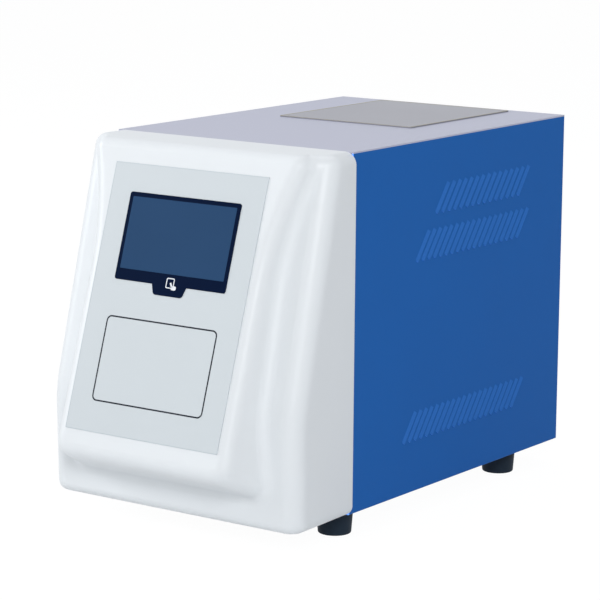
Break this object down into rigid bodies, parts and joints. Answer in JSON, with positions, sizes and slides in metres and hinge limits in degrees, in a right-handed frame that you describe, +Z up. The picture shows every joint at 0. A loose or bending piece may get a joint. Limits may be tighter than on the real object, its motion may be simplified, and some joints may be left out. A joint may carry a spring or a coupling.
{
  "type": "probe sonicator control unit",
  "caption": "Bench control unit of a probe sonicator: blue vented sheet case, pale moulded front with a tilted display pod, rubber feet, fan, mains inlet and round output socket",
  "frame": {"origin": "on the bench, under the centre of the overall box", "axes": "+Z up, the display looks towards -Y, +X to the right of someone facing the display"},
  "size_m": [0.2362, 0.4431, 0.299],
  "materials": {
    "bezel_plastic": "satin",
    "label_film": "satin",
    "display_glass": "gloss",
    "blue_paint": "satin powder coat",
    "pale_paint": "satin powder coat",
    "plate_laminate": "gloss",
    "zinc_sheet": "satin",
    "steel_screw": "satin",
    "black_rubber": "matte",
    "black_plastic": "matte",
    "fan_plastic": "matte",
    "steel_wire": "satin",
    "tinned_brass": "satin",
    "nickel_shell": "satin",
    "insert_plastic": "matte",
    "green_board": "satin",
    "chip_plastic": "matte",
    "sink_aluminium": "satin",
    "capacitor_sleeve": "gloss",
    "supply_case": "satin",
    "ferrite": "matte",
    "copper_winding": "satin",
    "fuse_glass": "clear",
    "rocker_plastic": "gloss"
  },
  "bodies": {
    "case": {"base_pan": "zinc_sheet", "bezel_screws": "steel_screw", "board_screws": "steel_screw", "board_standoffs": "steel_screw", "bulk_capacitors": "capacitor_sleeve", "control_board": "green_board", "control_chips": "chip_plastic", "display_bracket": "zinc_sheet", "display_screws": "steel_screw", "display_window": "display_glass", "driver_board": "green_board", "driver_standoffs": "steel_screw", "earth_nut": "tinned_brass", "earth_stud": "tinned_brass", "fan_frame": "fan_plastic", "fan_guard": "steel_wire", "fan_screws": "steel_screw", "flange_screws": "steel_screw", "foot_front_left": "black_rubber", "foot_front_right": "black_rubber", "foot_rear_left": "black_rubber", "foot_rear_right": "black_rubber", "foot_screws": "steel_screw", "front_bezel": "bezel_plastic", "front_bulkhead": "zinc_sheet", "front_label": "label_film", "heat_sink_left": "sink_aluminium", "heat_sink_right": "sink_aluminium", "inlet_housing": "black_plastic", "inlet_pins": "tinned_brass", "inlet_screws": "steel_screw", "lcd_module": "sink_aluminium", "output_insert": "insert_plastic", "output_nut": "nickel_shell", "output_pins": "tinned_brass", "output_socket": "nickel_shell", "output_transformer_coil": "copper_winding", "output_transformer_core": "ferrite", "power_transistors": "chip_plastic", "rear_panel": "pale_paint", "rear_screws": "steel_screw", "sensor_insert": "insert_plastic", "sensor_nut": "nickel_shell", "sensor_pins": "tinned_brass", "sensor_socket": "nickel_shell", "side_panel_left": "blue_paint", "side_panel_right": "blue_paint", "supply_module": "supply_case", "top_cover": "pale_paint", "top_plate": "plate_laminate", "transformer_clamp": "zinc_sheet", "tuning_inductor_coil": "copper_winding", "tuning_inductor_core": "ferrite"},
    "fan": {"fan_rotor": "fan_plastic"},
    "rocker": {"power_rocker": "rocker_plastic"},
    "drawer": {"fuse_drawer": "black_plastic", "fuse_tubes": "fuse_glass"}
  },
  "joints": [
    {"name": "fan_spin", "type": "hinge", "parent": "case", "child": "fan", "pos_m": [-0.048, 0.19551, 0.21], "axis": [0, 1, 0], "continuous": true},
    {"name": "rocker_tilt", "type": "hinge", "parent": "case", "child": "rocker", "pos_m": [0.07, 0.20851, 0.1005], "axis": [-1, 0, 0], "range_deg": [0, 22]},
    {"name": "drawer_slide", "type": "slide", "parent": "case", "child": "drawer", "axis": [0, 1, 0], "range_m": [0, 0.016]}
  ]
}
